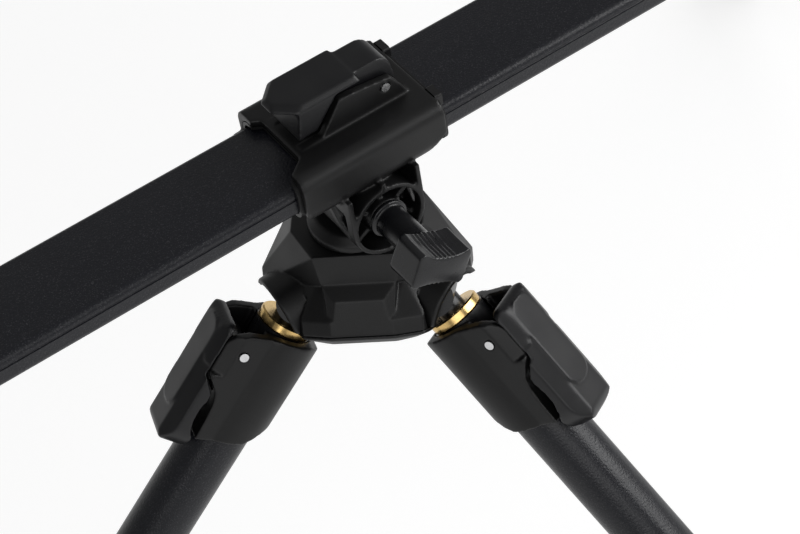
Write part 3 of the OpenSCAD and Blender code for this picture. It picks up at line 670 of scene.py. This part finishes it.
def make_world():
    """White to the camera; for other rays a dome that is dimmer towards the horizon."""
    values = stage_values()
    world = bpy.data.worlds.new("studio")
    bpy.context.scene.world = world
    world.use_nodes = True
    world.node_tree.nodes.clear()
    made = Nodes(world.node_tree)
    height = made.node("ShaderNodeSeparateXYZ")
    made.join(made.node("ShaderNodeTexCoord").outputs["Generated"], height.inputs["Vector"])
    fade = made.spread(height.outputs["Z"], DOME_LOW, DOME_HIGH, values.horizon, values.sky)
    dome = made.node("ShaderNodeBackground")
    made.join(fade, dome.inputs["Strength"])
    white = made.node("ShaderNodeBackground")
    white.inputs["Color"].default_value = (1.0, 1.0, 1.0, 1.0)
    seen = made.node("ShaderNodeLightPath").outputs["Is Camera Ray"]
    look = made.mix_shaders(seen, dome.outputs["Background"], white.outputs["Background"])
    made.join(look, made.node("ShaderNodeOutputWorld").inputs["Surface"])


def make_softbox(name, place, power):
    """A wide studio light that points at the front clamp."""
    lamp = bpy.data.lights.new(name, "AREA")
    lamp.shape = "RECTANGLE"
    lamp.size, lamp.size_y = SOFTBOX_SIZE
    lamp.energy = power
    obj = link(bpy.data.objects.new(name, lamp))
    obj.location = place
    obj.rotation_mode = "QUATERNION"
    obj.rotation_quaternion = (Vector(SOFTBOX_AIM) - Vector(place)).to_track_quat("-Z", "Y")


def make_camera():
    """Stands the camera where the photograph was taken from."""
    values = stage_values()
    turn, dip, roll = values.heading, values.dip, values.roll
    across = Vector((math.cos(turn), -math.sin(turn), 0.0))
    back = Vector((-math.sin(turn) * math.cos(dip), -math.cos(turn) * math.cos(dip), math.sin(dip)))
    up = back.cross(across)
    right = math.cos(roll) * across - math.sin(roll) * up
    top = math.sin(roll) * across + math.cos(roll) * up
    camera = link(bpy.data.objects.new("camera", bpy.data.cameras.new("camera")))
    camera.data.lens = values.lens
    camera.data.sensor_width = SENSOR_WIDTH
    camera.data.clip_start = NEAREST_SEEN
    camera.data.clip_end = FARTHEST_SEEN
    axes = Matrix((right, top, back)).transposed().to_4x4()
    camera.matrix_world = Matrix.Translation(values.eye) @ axes
    bpy.context.scene.camera = camera


class POD_OT_stage(bpy.types.Operator):
    """Sets up the floor, the soft light and the camera"""

    bl_idname = "pod.stage"
    bl_label = "Stage"

    def execute(self, context):
        values = stage_values()
        context.scene.view_settings.view_transform = "Standard"
        make_floor()
        make_world()
        make_softbox("right_softbox", RIGHT_SOFTBOX, values.right_power)
        make_softbox("front_softbox", FRONT_SOFTBOX, values.front_power)
        make_camera()
        return {"FINISHED"}


class POD_PT_sidebar(bpy.types.Panel):
    """Lists the steps that dress the pod"""

    bl_idname = "POD_PT_sidebar"
    bl_label = "Rod Pod"
    bl_space_type = "VIEW_3D"
    bl_region_type = "UI"
    bl_category = "Rod Pod"

    def draw(self, context):
        for step in STEPS:
            self.layout.operator(step.bl_idname)
        for group in (context.scene.pod_finishes, context.scene.pod_softness, context.scene.pod_stage):
            for name in group.__annotations__:
                self.layout.prop(group, name)


STEPS = (POD_OT_beam, POD_OT_clamps, POD_OT_hubs, POD_OT_legs, POD_OT_locks, POD_OT_ends, POD_OT_stage)
GROUPS = {"pod_finishes": PodFinishes, "pod_softness": PodSoftness, "pod_stage": PodStage}


def register():
    """Makes the values, the steps and the panel known to Blender."""
    for group in GROUPS.values():
        bpy.utils.register_class(group)
    for name, group in GROUPS.items():
        setattr(bpy.types.Scene, name, PointerProperty(type=group))
    for made in (*STEPS, POD_PT_sidebar):
        bpy.utils.register_class(made)


def unregister():
    """Takes back what register did."""
    for made in (POD_PT_sidebar, *reversed(STEPS)):
        bpy.utils.unregister_class(made)
    for name in GROUPS:
        delattr(bpy.types.Scene, name)
    for group in GROUPS.values():
        bpy.utils.unregister_class(group)


def main():
    """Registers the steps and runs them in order."""
    register()
    bpy.ops.pod.beam()
    bpy.ops.pod.clamps()
    bpy.ops.pod.hubs()
    bpy.ops.pod.legs()
    bpy.ops.pod.locks()
    bpy.ops.pod.ends()
    bpy.ops.pod.stage()


if __name__ == "__main__":
    main()
